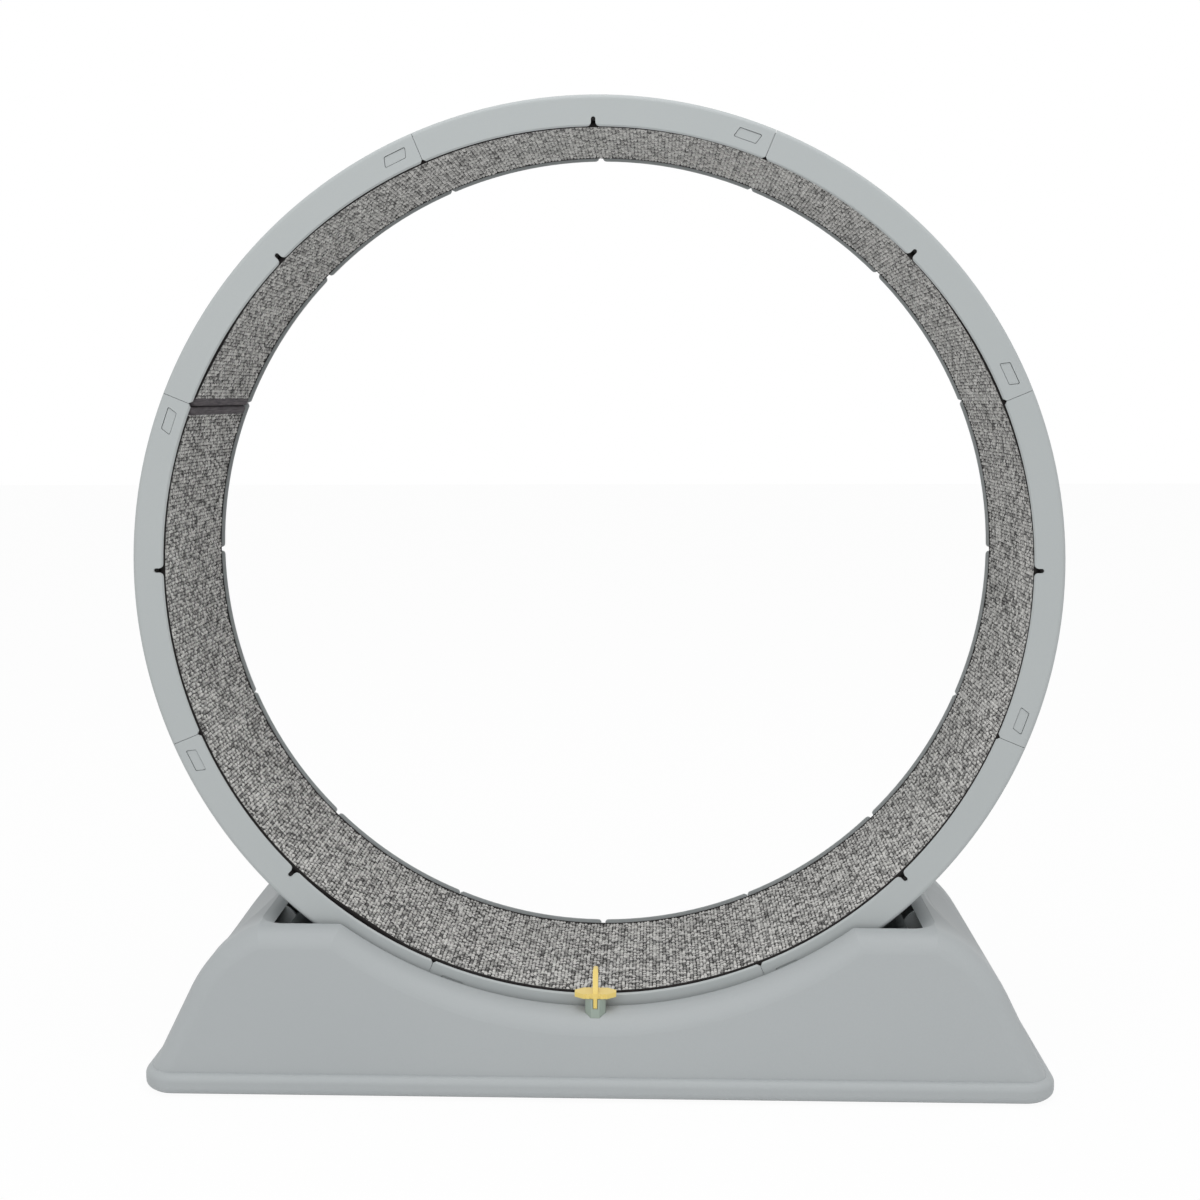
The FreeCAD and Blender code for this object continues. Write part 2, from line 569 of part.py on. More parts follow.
def stand_prism(inset):
    """The stand's front outline, with the valley for the wheel, as deep as the stand."""
    foot, start, middle, ridge = shoulder_points(inset)
    valley = VALLEY_RADIUS + inset
    corner_x = sqrt(valley ** 2 - (WHEEL_CENTRE_HEIGHT - ridge.z) ** 2)
    corner = Vector(corner_x, 0, ridge.z)
    lowest = Vector(0, 0, WHEEL_CENTRE_HEIGHT - valley)

    def other(point):
        return Vector(-point.x, point.y, point.z)

    edges = [
        Part.LineSegment(other(foot), foot),
        Part.LineSegment(foot, start),
        Part.Arc(start, middle, ridge),
        Part.LineSegment(ridge, corner),
        Part.Arc(corner, lowest, other(corner)),
        Part.LineSegment(other(corner), other(ridge)),
        Part.Arc(other(ridge), other(middle), other(start)),
        Part.LineSegment(other(start), other(foot)),
    ]
    solid = outline_prism(edges, ALONG_Y * STAND_DEPTH)
    return moved(solid, 0, -STAND_DEPTH / 2, 0)


def side_section(inset):
    """The stand's end view, which leans in from the bead to the top."""
    depth = WALL_HALF_DEPTH - inset
    lean = WALL_HEIGHT * tan(radians(SIDE_LEAN))
    half = [(depth, WALL_FOOT), (depth - lean, STAND_HEIGHT)]
    points = [Vector(-STAND_LENGTH / 2, y, z) for y, z in half]
    points += [Vector(-STAND_LENGTH / 2, -y, z) for y, z in reversed(half)]
    return prism(points, ALONG_X * STAND_LENGTH)


def rim_edges(shape):
    """The edges all round the leaning front and back walls, but not along the bead."""
    lean = radians(SIDE_LEAN)
    chosen = []
    for face in shape.Faces:
        normal = face.normalAt(0, 0)
        if abs(abs(normal.y) - cos(lean)) < 0.001:
            chosen += [edge for edge in face.Edges if edge.BoundBox.ZMax > WALL_FOOT + EXTRA]
    return chosen


def stand_body(inset):
    """Outer form of the stand above the bead, rounded, or its core inside the wall, bevelled."""
    body = stand_prism(inset).common(side_section(inset))
    if inset == 0:
        return body.makeFillet(EDGE_RADIUS, rim_edges(body))
    return body.makeChamfer((EDGE_RADIUS - inset) * CORE_BEVEL, rim_edges(body))


def stand_inside(inset):
    """The core inside the wall, carried on down through the bead to the floor."""
    lower = rounded_plate(WALL_HALF_LENGTH - inset, WALL_HALF_DEPTH - inset, EDGE_RADIUS - inset,
                          FOOT_HEIGHT - EXTRA, WALL_FOOT)
    return joined([stand_body(inset), lower])


def bead():
    """The stout rounded edge that the stand rests on."""
    low = FOOT_HEIGHT
    plate = block((-STAND_LENGTH / 2, -STAND_DEPTH / 2, low), (STAND_LENGTH / 2, STAND_DEPTH / 2, BEAD_HEIGHT))
    plate = plate.makeFillet(BEAD_CORNER_RADIUS, edges_along(plate, ALONG_Z))
    level_edges = [edge for edge in plate.Edges if edge.BoundBox.ZLength < EXTRA]
    return plate.makeFillet(BEAD_EDGE_RADIUS, level_edges)


def rounded_plate(half_length, half_depth, radius, low, high):
    plate = block((-half_length, -half_depth, low), (half_length, half_depth, high))
    return plate.makeFillet(radius, edges_along(plate, ALONG_Z))


def trough(grow):
    """Space for the wheel: an arc under it, a pocket for the rollers at each end."""
    half_length = TROUGH_HALF_LENGTH + grow
    half_width = TROUGH_HALF_WIDTH + grow
    radius = TROUGH_RADIUS + grow
    floor = POCKET_FLOOR - grow
    start = POCKET_START - grow
    top = STAND_HEIGHT + EDGE_RADIUS
    step = WHEEL_CENTRE_HEIGHT - sqrt(radius ** 2 - start ** 2)

    def at(x, z):
        return Vector(x, -half_width, z)

    edges = [
        Part.LineSegment(at(half_length, top), at(half_length, floor)),
        Part.LineSegment(at(half_length, floor), at(start, floor)),
        Part.LineSegment(at(start, floor), at(start, step)),
        Part.Arc(at(start, step), at(0, WHEEL_CENTRE_HEIGHT - radius), at(-start, step)),
        Part.LineSegment(at(-start, step), at(-start, floor)),
        Part.LineSegment(at(-start, floor), at(-half_length, floor)),
        Part.LineSegment(at(-half_length, floor), at(-half_length, top)),
        Part.LineSegment(at(-half_length, top), at(half_length, top)),
    ]
    return outline_prism(edges, ALONG_Y * (2 * half_width))


def end_roll():
    """Cutter for the soft edge from the right ridge down into the trough, round at both corners."""
    radius = END_ROLL_RADIUS
    bend = radius * (1 - sqrt(0.5))
    crest = STAND_HEIGHT - RIDGE_DROP
    reach = radius + 2 * RIDGE_DROP
    low = crest - radius

    def at(x, z):
        return Vector(TROUGH_HALF_LENGTH + x, -TROUGH_HALF_WIDTH, z)

    edges = [
        Part.LineSegment(at(-radius, low), at(0, low)),
        Part.Arc(at(0, low), at(bend, crest - bend), at(radius, crest)),
        Part.LineSegment(at(radius, crest), at(reach, crest)),
        Part.LineSegment(at(reach, crest), at(reach, STAND_HEIGHT + radius)),
        Part.LineSegment(at(reach, STAND_HEIGHT + radius), at(-radius, STAND_HEIGHT + radius)),
        Part.LineSegment(at(-radius, STAND_HEIGHT + radius), at(-radius, low)),
    ]
    roll = outline_prism(edges, ALONG_Y * (2 * TROUGH_HALF_WIDTH))
    outer_edges = [edge for edge in edges_along(roll, ALONG_Z)
                   if edge.CenterOfMass.x > TROUGH_HALF_LENGTH]
    return roll.makeFillet(radius, outer_edges)


def hand_scoop():
    """Cutter for the shallow recess across the right end, from the ridge down the shoulder."""
    _, start, _, ridge = shoulder_points(0)
    half_chord = TROUGH_HALF_WIDTH - END_ROLL_RADIUS
    radius = (half_chord ** 2 + SCOOP_DEPTH ** 2) / (2 * SCOOP_DEPTH)
    run = (start - ridge).normalize()
    outward = Vector(-run.z, 0, run.x)
    if outward.z < 0:
        outward = outward * -1
    middle = (start + ridge) * 0.5
    sagitta = SHOULDER_RADIUS - sqrt(SHOULDER_RADIUS ** 2 - (start - ridge).Length ** 2 / 4)
    length = 4 * (start - ridge).Length
    base = middle + outward * (sagitta + radius - SCOOP_DEPTH) - run * (length / 2)
    return Part.makeCylinder(radius, length, base, run)


def stand_ribs():
    """Upright ribs that tie the outer walls to the trough."""
    ribs = []
    for x in STAND_RIB_PLACES:
        for side in (-1, 1):
            ribs.append(block((side * x - STAND_RIB_WALL / 2, -WALL_HALF_DEPTH, BASE_TOP + BASE_SEAT_GAP),
                              (side * x + STAND_RIB_WALL / 2, WALL_HALF_DEPTH, STAND_HEIGHT)))
    end_rib = block((TROUGH_HALF_LENGTH, -STAND_RIB_WALL / 2, BASE_TOP + BASE_SEAT_GAP),
                    (WALL_HALF_LENGTH, STAND_RIB_WALL / 2, STAND_HEIGHT))
    for y in (-END_RIB_PLACE, END_RIB_PLACE):
        ribs += with_mirror(moved(end_rib, 0, y, 0), mirrored_x)
    return ribs


def base_screw_places():
    """Where the base plate is screwed to the stand: beside the ribs of both walls and of both ends."""
    along = STAND_RIB_PLACES[-1]
    wall_middle = (TROUGH_HALF_WIDTH + WALL_HALF_DEPTH) / 2
    end = RIDGE_HALF_LENGTH + BASE_BOSS_FROM_RIDGE
    places = [(sx * along, sy * wall_middle) for sx in (-1, 1) for sy in (-1, 1)]
    return places + [(sx * end, sy * END_RIB_PLACE) for sx in (-1, 1) for sy in (-1, 1)]


def roller_opening():
    """Cutter for the window under the right rollers and the slots that their axle comes up through."""
    reach = ROLLER_RADIUS + FLANGE_REACH + WINDOW_MARGIN
    window = block((ROLLER_X - reach, -TROUGH_HALF_WIDTH, BRACKET_TOP - EXTRA),
                   (ROLLER_X + reach, TROUGH_HALF_WIDTH, POCKET_FLOOR + EXTRA))
    half_slot = AXLE_SLOT_WIDTH / 2
    slot = block((ROLLER_X - half_slot, -EAR_INSIDE, BRACKET_TOP - EXTRA),
                 (ROLLER_X + half_slot, EAR_INSIDE, ROLLER_Z))
    slot_end = moved(tube(half_slot, 0, -EAR_INSIDE, EAR_INSIDE), ROLLER_X, 0, ROLLER_Z)
    return [window, slot, slot_end]


def guide_post(inset):
    """Eight-sided post of the lock's guide, or the hole that it stands in."""
    half = GUIDE_WIDTH / 2 - inset
    cut = half * tan(pi / 8)
    low = WHEEL_CENTRE_HEIGHT - VALLEY_RADIUS - GUIDE_ROOT
    points = [(half, -cut), (half, cut), (cut, half), (-cut, half),
              (-half, cut), (-half, -cut), (-cut, -half), (cut, -half)]
    return prism([Vector(x, GUIDE_Y + y, low) for x, y in points], ALONG_Z * (GUIDE_TOP - low))


def stand_shell():
    """The one-piece moulded stand, open underneath."""
    outside = joined([stand_body(0), bead()])
    seat_half = (STAND_LENGTH / 2 - BASE_MARGIN, STAND_DEPTH / 2 - BASE_MARGIN)
    seat = rounded_plate(seat_half[0], seat_half[1], BEAD_CORNER_RADIUS - BASE_MARGIN,
                         FOOT_HEIGHT - EXTRA, BASE_TOP)
    skin = outside.cut([stand_inside(STAND_WALL), seat])
    inner_parts = joined([trough(STAND_WALL)] + stand_ribs()).common(stand_inside(STAND_WALL / 2))
    base_bosses = [post(BASE_BOSS_RADIUS, x, y, BASE_TOP, BASE_TOP + BASE_BOSS_DEPTH)
                   for x, y in base_screw_places()]
    shell = joined([skin, inner_parts] + base_bosses)
    roll = end_roll()
    scoop = hand_scoop()
    shell = shell.cut([trough(0)] + with_mirror(roll, mirrored_x) + with_mirror(scoop, mirrored_x))
    bosses = [post(BOSS_RADIUS, sx * ROLLER_X + x, y, BRACKET_TOP, POCKET_FLOOR + BOSS_HEIGHT)
              for sx in (-1, 1) for x, y in bracket_screw_places()]
    shell = joined([shell] + bosses)
    holes = []
    for cutter in roller_opening():
        holes += with_mirror(cutter, mirrored_x)
    hole_radius = SCREW_RADIUS + BEARING_SEAT_GAP
    for x, y in base_screw_places():
        holes.append(post(hole_radius, x, y, FOOT_HEIGHT, BASE_TOP + BASE_BOSS_DEPTH - BASE_WALL))
    for sx in (-1, 1):
        for x, y in bracket_screw_places():
            holes.append(post(hole_radius, sx * ROLLER_X + x, y, BRACKET_TOP - EXTRA,
                              BRACKET_TOP - BRACKET_WALL + SCREW_LENGTH + SCREW_HOLE_GAP))
    holes.append(guide_post(-GUIDE_FIT_GAP))
    return shell.cut(holes)


def base_plate():
    """Flat cover that closes the stand from below."""
    margin = BASE_MARGIN + BASE_SEAT_GAP
    plate = rounded_plate(STAND_LENGTH / 2 - margin, STAND_DEPTH / 2 - margin,
                          BEAD_CORNER_RADIUS - margin, FOOT_HEIGHT, BASE_TOP)
    head = SCREW_HEAD_RADIUS + SCREW_HOLE_GAP
    holes = []
    for x, y in base_screw_places():
        holes.append(post(SCREW_RADIUS + SCREW_HOLE_GAP, x, y, FOOT_HEIGHT - EXTRA, BASE_TOP + EXTRA))
        holes.append(post(head, x, y, FOOT_HEIGHT - EXTRA, FOOT_HEIGHT + SCREW_HEAD_HEIGHT))
    return plate.cut(holes)


def foot_places():
    """Corners and middles of the long sides."""
    reach_x = STAND_LENGTH / 2 - FOOT_INSET_X
    reach_y = STAND_DEPTH / 2 - FOOT_INSET_Y
    return [(sx * reach_x, sy * reach_y) for sx in (-1, 0, 1) for sy in (-1, 1)]


def make_stand(nodes):
    nodes["stand_shell"] = stand_shell()
    nodes["base_plate"] = base_plate()
    seat = FOOT_HEIGHT + SCREW_HEAD_HEIGHT
    nodes["base_screws"] = Part.makeCompound([screw(x, y, seat) for x, y in base_screw_places()])
    nodes["rubber_feet"] = Part.makeCompound(
        [post(FOOT_RADIUS, x, y, 0, FOOT_HEIGHT) for x, y in foot_places()])


# ---- The lock ----
def lock_guide():
    """Guide post with a slot that is open at its top, front and back."""
    floor = GUIDE_TOP - KEY_BLADE_DEPTH - KEY_SLOT_END_GAP
    slot = block((-KEY_SLOT_WIDTH / 2, GUIDE_Y - GUIDE_WIDTH, floor),
                 (KEY_SLOT_WIDTH / 2, GUIDE_Y + GUIDE_WIDTH, GUIDE_TOP + EXTRA))
    return guide_post(0).cut(slot)


def key_plate():
    """Thumb plate with scalloped grips along both long edges."""
    low = GUIDE_TOP + KEY_PLATE_LIFT
    rear = KEY_PLATE_REAR
    front = rear - KEY_PLATE_DEPTH
    end = KEY_PLATE_LENGTH / 2
    corner = end - KEY_PLATE_CORNER
    end_rear = rear - (KEY_PLATE_DEPTH - KEY_PLATE_END) / 2
    end_front = end_rear - KEY_PLATE_END
    outline = [(-corner, front), (corner, front), (end, end_front), (end, end_rear),
               (corner, rear), (-corner, rear), (-end, end_rear), (-end, end_front)]
    plate = prism([Vector(x, y, low) for x, y in outline], ALONG_Z * KEY_PLATE_WALL)
    pitch = 2 * corner / KEY_GRIP_COUNT
    grips = []
    for index in range(KEY_GRIP_COUNT):
        x = (index - (KEY_GRIP_COUNT - 1) / 2) * pitch
        for y in (front - KEY_GRIP_RADIUS / 2, rear + KEY_GRIP_RADIUS / 2):
            grips.append(post(KEY_GRIP_RADIUS, x, y, low - EXTRA, low + KEY_PLATE_WALL + EXTRA))
    return plate.cut(grips)


def key_blade():
    """Upright blade: its foot slides in the guide and its nose enters a notch of the rim."""
    half = KEY_BLADE_WALL / 2
    low = GUIDE_TOP - KEY_BLADE_DEPTH
    top = GUIDE_TOP + KEY_PLATE_LIFT + KEY_PLATE_WALL
    front = GUIDE_Y - GUIDE_WIDTH / 2 + EXTRA
    return block((-half, front, low), (half, KEY_REAR, top))


def key_fin():
    """Thumb fin on the plate, slanted at its front, with a rounded crest."""
    low = GUIDE_TOP + KEY_PLATE_LIFT
    top = low + KEY_PLATE_WALL + KEY_FIN_HEIGHT
    points = [
        Vector(-KEY_FIN_WALL / 2, KEY_PLATE_REAR - KEY_PLATE_DEPTH + EXTRA, low),
        Vector(-KEY_FIN_WALL / 2, KEY_PLATE_REAR - EXTRA, low),
        Vector(-KEY_FIN_WALL / 2, KEY_PLATE_REAR - EXTRA, top),
        Vector(-KEY_FIN_WALL / 2, KEY_PLATE_REAR - EXTRA - KEY_FIN_TIP, top),
        Vector(-KEY_FIN_WALL / 2, KEY_PLATE_REAR - KEY_PLATE_DEPTH + EXTRA, low + KEY_PLATE_WALL),
    ]
    fin = prism(points, ALONG_X * KEY_FIN_WALL)
    crest = [edge for edge in edges_along(fin, ALONG_Y) if edge.CenterOfMass.z > top - EXTRA]
    return fin.makeFillet(KEY_CREST_RADIUS, crest)


def make_lock(nodes):
    nodes["lock_guide"] = lock_guide()
    nodes["lock_key"] = joined([key_plate(), key_blade(), key_fin()])


# ---- The whole object ----
def build():
    nodes = {}
    make_wheel(nodes)
    for name in list(nodes):
        nodes[name] = moved(nodes[name], 0, 0, WHEEL_CENTRE_HEIGHT)
    make_rollers(nodes)
    make_axles(nodes)
    make_stand(nodes)
    make_lock(nodes)
    return nodes


os.makedirs("parts", exist_ok=True)
for node_name, node_shape in build().items():
    node_shape.exportStep("parts/%s.step" % node_name)
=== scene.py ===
import bmesh
import bpy
import numpy as np
from math import cos, degrees, exp, pi, radians, sin, sqrt
from mathutils import Matrix, Vector, noise


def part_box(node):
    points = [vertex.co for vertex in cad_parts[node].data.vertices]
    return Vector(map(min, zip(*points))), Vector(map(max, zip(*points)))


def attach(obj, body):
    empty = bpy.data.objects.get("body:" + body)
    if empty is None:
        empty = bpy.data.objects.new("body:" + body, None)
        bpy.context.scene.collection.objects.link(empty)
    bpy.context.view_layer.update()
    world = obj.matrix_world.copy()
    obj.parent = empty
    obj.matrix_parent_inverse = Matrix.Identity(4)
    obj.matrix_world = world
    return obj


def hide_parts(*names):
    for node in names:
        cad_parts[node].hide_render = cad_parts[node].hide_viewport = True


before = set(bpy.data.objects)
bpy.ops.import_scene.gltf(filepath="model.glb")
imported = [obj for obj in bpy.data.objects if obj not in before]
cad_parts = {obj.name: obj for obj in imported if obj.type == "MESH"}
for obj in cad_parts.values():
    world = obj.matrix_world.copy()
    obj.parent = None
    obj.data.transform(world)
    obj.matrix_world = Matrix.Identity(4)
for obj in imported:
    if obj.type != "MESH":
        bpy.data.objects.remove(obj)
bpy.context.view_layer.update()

# ---- Sizes in metres; angles on the wheel run clockwise from its top, seen from the lock's side ----
MM = 0.001
WHEEL_HEIGHT = 0.568            # the wheel's axis above the floor
SEAM_ANGLE = 292.0              # where the carpet's two ends meet
SEAM_GAP = 1.2 * MM
BINDING_LENGTH = 10 * MM
ROW_PITCH = 3.8 * MM            # from one row of carpet loops to the next, round the track
LOOP_PITCH = 3.3 * MM           # from one loop to the next in its row
LOOP_HEIGHT = 2.2 * MM
PILE_PARTS = 8                  # the loops are made in this many lengths of the strip
FRONT_SEAL = 1.6 * MM           # bare sealed edges of the carpet beside its loops
REAR_SEAL = 3.0 * MM
FIRST_SEED = 40                 # of the loops' random draws; each length of the strip has the next
GROUND_STEPS = 720              # round the wheel
BINDING_STEPS = 14              # along the track
# Where the hand-cut front edge stands back most: angle, half width in degrees, millimetres.
EDGE_BAYS = ((300, 8, 7), (332, 16, 6), (2, 24, 8), (62, 15, 12), (214, 6, 7))
# The shallow hollow across each end of the stand. The solids' hollow is cut through, and a thin panel
# closes it here. Places in x and z are the right end's.
HOLLOW_MIDDLE = (406.55 * MM, 145.25 * MM)      # middle of the chord under the rounded shoulder
HOLLOW_RUN = (0.73435, -0.67876)                # direction down along the chord
HOLLOW_ABOVE_CHORD = 2.7 * MM
HOLLOW_RADIUS = 761.3 * MM
PANEL_HALF_RUN = 35 * MM
PANEL_HALF_WIDTH = 84 * MM
PANEL_WALL = 1.5 * MM
PANEL_RINGS = 14
PANEL_SPOKES = 96
FLOOR_REACH = 12                # half the studio floor's side
CAMERA_PLACE = (0.0637, -1.7881, 0.7514)
CAMERA_TURN = (-1.9923, 5.1576, -0.1814)    # degrees: to the left, down, and about the line of sight
CAMERA_LENS = 46.9362
CAMERA_SHIFT = -0.05            # the photograph's framing: its middle lies below the line of sight


# ---- Small tools ----
def linear(hex_colour):
    """The linear colour of six sRGB hex digits."""
    parts = [int(hex_colour[i:i + 2], 16) / 255 for i in (0, 2, 4)]
    return [p / 12.92 if p <= 0.04045 else ((p + 0.055) / 1.055) ** 2.4 for p in parts] + [1.0]


def add(tree, kind, sockets=None, **settings):
    """Adds a node with its settings; a socket gets a value, or a link from another node's output."""
    made = tree.nodes.new(kind)
    for name, value in settings.items():
        setattr(made, name, value)
    for name, value in (sockets or {}).items():
        if isinstance(value, bpy.types.NodeSocket):
            tree.links.new(value, made.inputs[name])
        else:
            made.inputs[name].default_value = value
    return made


def start_material(name):
    """An empty material with one surface shader, which is returned with the tree."""
    material = bpy.data.materials.new(name)
    material.use_nodes = True
    tree = material.node_tree
    tree.nodes.clear()
    surface = add(tree, "ShaderNodeBsdfPrincipled")
    add(tree, "ShaderNodeOutputMaterial", {"Surface": surface.outputs[0]})
    return material, tree, surface


def shade_between(tree, surface, factor, body, pale):
    """Colours the surface between two sRGB colours."""
    colour = add(tree, "ShaderNodeMix", {0: factor, 6: linear(body), 7: linear(pale)}, data_type="RGBA")
    tree.links.new(colour.outputs[2], surface.inputs["Base Color"])


def raise_by(tree, surface, height, strength, distance):
    """Gives the surface a fine relief."""
    bump = add(tree, "ShaderNodeBump", {"Height": height, "Strength": strength, "Distance": distance})
    tree.links.new(bump.outputs[0], surface.inputs["Normal"])


def put_on(node_name, material):
    """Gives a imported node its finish."""
    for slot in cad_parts[node_name].material_slots:
        slot.material = material


def place_object(name, data):
    """A new object in the scene."""
    made = bpy.data.objects.new(name, data)
    bpy.context.scene.collection.objects.link(made)
    return made


# ---- Materials ----
def moulded_plastic(name, body, pale, grain, roughness, relief, drift=0.25):
    """Injection-moulded plastic with a spark-eroded skin: a faint drift of shade and a fine grain."""
    material, tree, surface = start_material(name)
    place = add(tree, "ShaderNodeTexCoord").outputs["Object"]
    flow = add(tree, "ShaderNodeTexNoise", {"Vector": place, "Scale": 1 / drift, "Detail": 2.0})
    skin = add(tree, "ShaderNodeTexNoise", {"Vector": place, "Scale": 1 / grain, "Detail": 3.0})
    speckle = add(tree, "ShaderNodeMapRange", {"Value": skin.outputs["Fac"], "From Min": 0.3, "From Max": 0.7,
                                               "To Min": 0.35, "To Max": 0.65})
    amount = add(tree, "ShaderNodeMath", {0: flow.outputs["Fac"], 1: speckle.outputs[0]},
                 operation="MULTIPLY_ADD")
    amount.inputs[2].default_value = 0.18
    shade_between(tree, surface, amount.outputs[0], body, pale)
    gloss = add(tree, "ShaderNodeMapRange", {"Value": skin.outputs["Fac"], "To Min": roughness - 0.06,
                                             "To Max": roughness + 0.06})
    tree.links.new(gloss.outputs[0], surface.inputs["Roughness"])
    raise_by(tree, surface, skin.outputs["Fac"], relief, 0.1 * MM)
    surface.inputs["IOR"].default_value = 1.5
    surface.inputs["Specular IOR Level"].default_value = 0.35
    return material


def brushed_metal(name, body, pale, line_length, roughness):
    """Zinc-plated or ground steel: fine lines along Y and a slight change of shade."""
    material, tree, surface = start_material(name)
    place = add(tree, "ShaderNodeTexCoord").outputs["Object"]
    stretched = add(tree, "ShaderNodeMapping", {"Vector": place, "Scale": (1, line_length, 1)})
    lines = add(tree, "ShaderNodeTexNoise", {"Vector": stretched.outputs[0], "Scale": 1 / (0.6 * MM),
                                             "Detail": 2.0})
    shade_between(tree, surface, lines.outputs["Fac"], body, pale)
    gloss = add(tree, "ShaderNodeMapRange", {"Value": lines.outputs["Fac"], "To Min": roughness - 0.08,
                                             "To Max": roughness + 0.1})
    tree.links.new(gloss.outputs[0], surface.inputs["Roughness"])
    surface.inputs["Metallic"].default_value = 1.0
    return material


def moulded_rubber(name, body, pale, grain, relief):
    """Matt moulded rubber with a dusty bloom."""
    material, tree, surface = start_material(name)
    place = add(tree, "ShaderNodeTexCoord").outputs["Object"]
    bloom = add(tree, "ShaderNodeTexNoise", {"Vector": place, "Scale": 1 / (22 * MM), "Detail": 4.0})
    skin = add(tree, "ShaderNodeTexNoise", {"Vector": place, "Scale": 1 / grain, "Detail": 2.0})
    shade_between(tree, surface, bloom.outputs["Fac"], body, pale)
    raise_by(tree, surface, skin.outputs["Fac"], relief, 0.2 * MM)
    surface.inputs["Roughness"].default_value = 0.85
    surface.inputs["Specular IOR Level"].default_value = 0.3
    return material


def loop_pile_wool(name):
    """Heather loop pile: each loop has its own grey, and the twist of the yarn shows as fine streaks."""
    material, tree, surface = start_material(name)
    place = add(tree, "ShaderNodeTexCoord").outputs["Object"]
    yarn = add(tree, "ShaderNodeAttribute", attribute_name="yarn", attribute_type="GEOMETRY").outputs["Fac"]
    ply = add(tree, "ShaderNodeTexNoise", {"Vector": place, "Scale": 1 / (1.1 * MM), "Detail": 2.0})
    worn = add(tree, "ShaderNodeTexNoise", {"Vector": place, "Scale": 1 / (60 * MM), "Detail": 2.0})
    shade = add(tree, "ShaderNodeMath", {0: yarn, 1: 0.95, 2: -0.32}, operation="MULTIPLY_ADD")
    shade = add(tree, "ShaderNodeMath", {0: ply.outputs["Fac"], 1: 0.45, 2: shade.outputs[0]},
                operation="MULTIPLY_ADD")
    shade = add(tree, "ShaderNodeMath", {0: worn.outputs["Fac"], 1: 0.24, 2: shade.outputs[0]},
                operation="MULTIPLY_ADD")
    shade_between(tree, surface, shade.outputs[0], "4d4d4c", "e2e1de")
    raise_by(tree, surface, ply.outputs["Fac"], 0.7, 0.5 * MM)
    surface.inputs["Roughness"].default_value = 0.95
    surface.inputs["Specular IOR Level"].default_value = 0.1
    surface.inputs["Sheen Weight"].default_value = 0.15
    return material


def woven_tape(name, body, pale):
    """Woven binding tape: streaks along its length, which runs across the track, and a short nap."""
    material, tree, surface = start_material(name)
    flat = add(tree, "ShaderNodeUVMap", uv_map="track").outputs[0]
    drawn = add(tree, "ShaderNodeMapping", {"Vector": flat, "Scale": (1, 0.07, 1)})
    streaks = add(tree, "ShaderNodeTexNoise", {"Vector": drawn.outputs[0], "Scale": 1 / (2.0 * MM),
                                               "Detail": 3.0})
    nap = add(tree, "ShaderNodeTexNoise", {"Vector": flat, "Scale": 1 / (1.8 * MM), "Detail": 3.0})
    mixed = add(tree, "ShaderNodeMath", {0: streaks.outputs["Fac"], 1: 1.5, 2: -0.55},
                operation="MULTIPLY_ADD")
    mixed = add(tree, "ShaderNodeMath", {0: nap.outputs["Fac"], 1: 0.6, 2: mixed.outputs[0]},
                operation="MULTIPLY_ADD")
    shade_between(tree, surface, mixed.outputs[0], body, pale)
    raise_by(tree, surface, mixed.outputs[0], 0.7, 0.4 * MM)
    surface.inputs["Roughness"].default_value = 0.85
    surface.inputs["Specular IOR Level"].default_value = 0.15
    return material


# Grey ABS, moulded with a fine spark-eroded skin: soft and even, hardly any gloss.
rim_abs = moulded_plastic("rim_moulded_abs", "aab0b1", "b7bbbb", 1.4 * MM, 0.55, 0.12)
# The same ABS in the large stand, a trace cooler.
stand_abs = moulded_plastic("stand_moulded_abs", "a5aaac", "b2b6b7", 1.6 * MM, 0.5, 0.12, 0.4)
# Flat sheet part under the stand, duller.
base_abs = moulded_plastic("base_moulded_abs", "8e9294", "9da1a2", 1.6 * MM, 0.65, 0.2)
# Nylon guide: a trace greener than the stand, and a little glossier.
guide_nylon = moulded_plastic("guide_moulded_nylon", "95a298", "a3afa5", 1.2 * MM, 0.42, 0.1, 0.02)
# Yellow acetal key: warm, smooth and slightly glossy.
key_acetal = moulded_plastic("key_moulded_acetal", "e4c664", "f1dd92", 1.2 * MM, 0.36, 0.06, 0.02)
# Glass-filled nylon of hubs and sleeves: dark with a dry skin.
hub_nylon = moulded_plastic("hub_moulded_nylon", "2c2e30", "3b3d3f", 0.9 * MM, 0.5, 0.25, 0.03)
sleeve_nylon = moulded_plastic("sleeve_moulded_nylon", "1d1e1f", "2b2c2d", 0.9 * MM, 0.5, 0.25, 0.03)
# Pressed steel with zinc plating, and ground bars.
bracket_zinc = brushed_metal("bracket_pressed_zinced_steel", "a6a8aa", "c4c5c5", 0.12, 0.38)
axle_ground = brushed_metal("axle_ground_steel", "b4b5b6", "d0d0cf", 0.5, 0.22)
screw_zinc = brushed_metal("screw_zinced_steel", "a2a4a5", "bebfbe", 1.0, 0.35)
clip_spring = brushed_metal("clip_blackened_spring_steel", "3a3a3b", "525252", 1.0, 0.4)
bearing_ground = brushed_metal("bearing_ground_steel", "b9babb", "d3d3d3", 1.0, 0.2)
# Tyres and feet: moulded rubber, matt black with grey bloom.
tyre_rubber = moulded_rubber("tyre_moulded_rubber", "1b1b1c", "2d2d2e", 1.0 * MM, 0.5)
foot_rubber = moulded_rubber("foot_moulded_rubber", "161617", "262627", 1.0 * MM, 0.5)
backing_rubber = moulded_rubber("backing_rubber_sheet", "100f0f", "1c1a1a", 2.2 * MM, 0.6)
# Latex ground between the loops: dry, and darkened to nearly black as painted shade, so that the gaps between
# the loops read as depth.
latex_ground_with_painted_shade = moulded_rubber("carpet_ground_latex_painted_shade", "1d1b1b", "302d2d", 1.6 * MM, 0.6)
# Wool and nylon yarn in loops: matt, each loop a grey of its own.
carpet_wool = loop_pile_wool("carpet_loop_pile_wool")
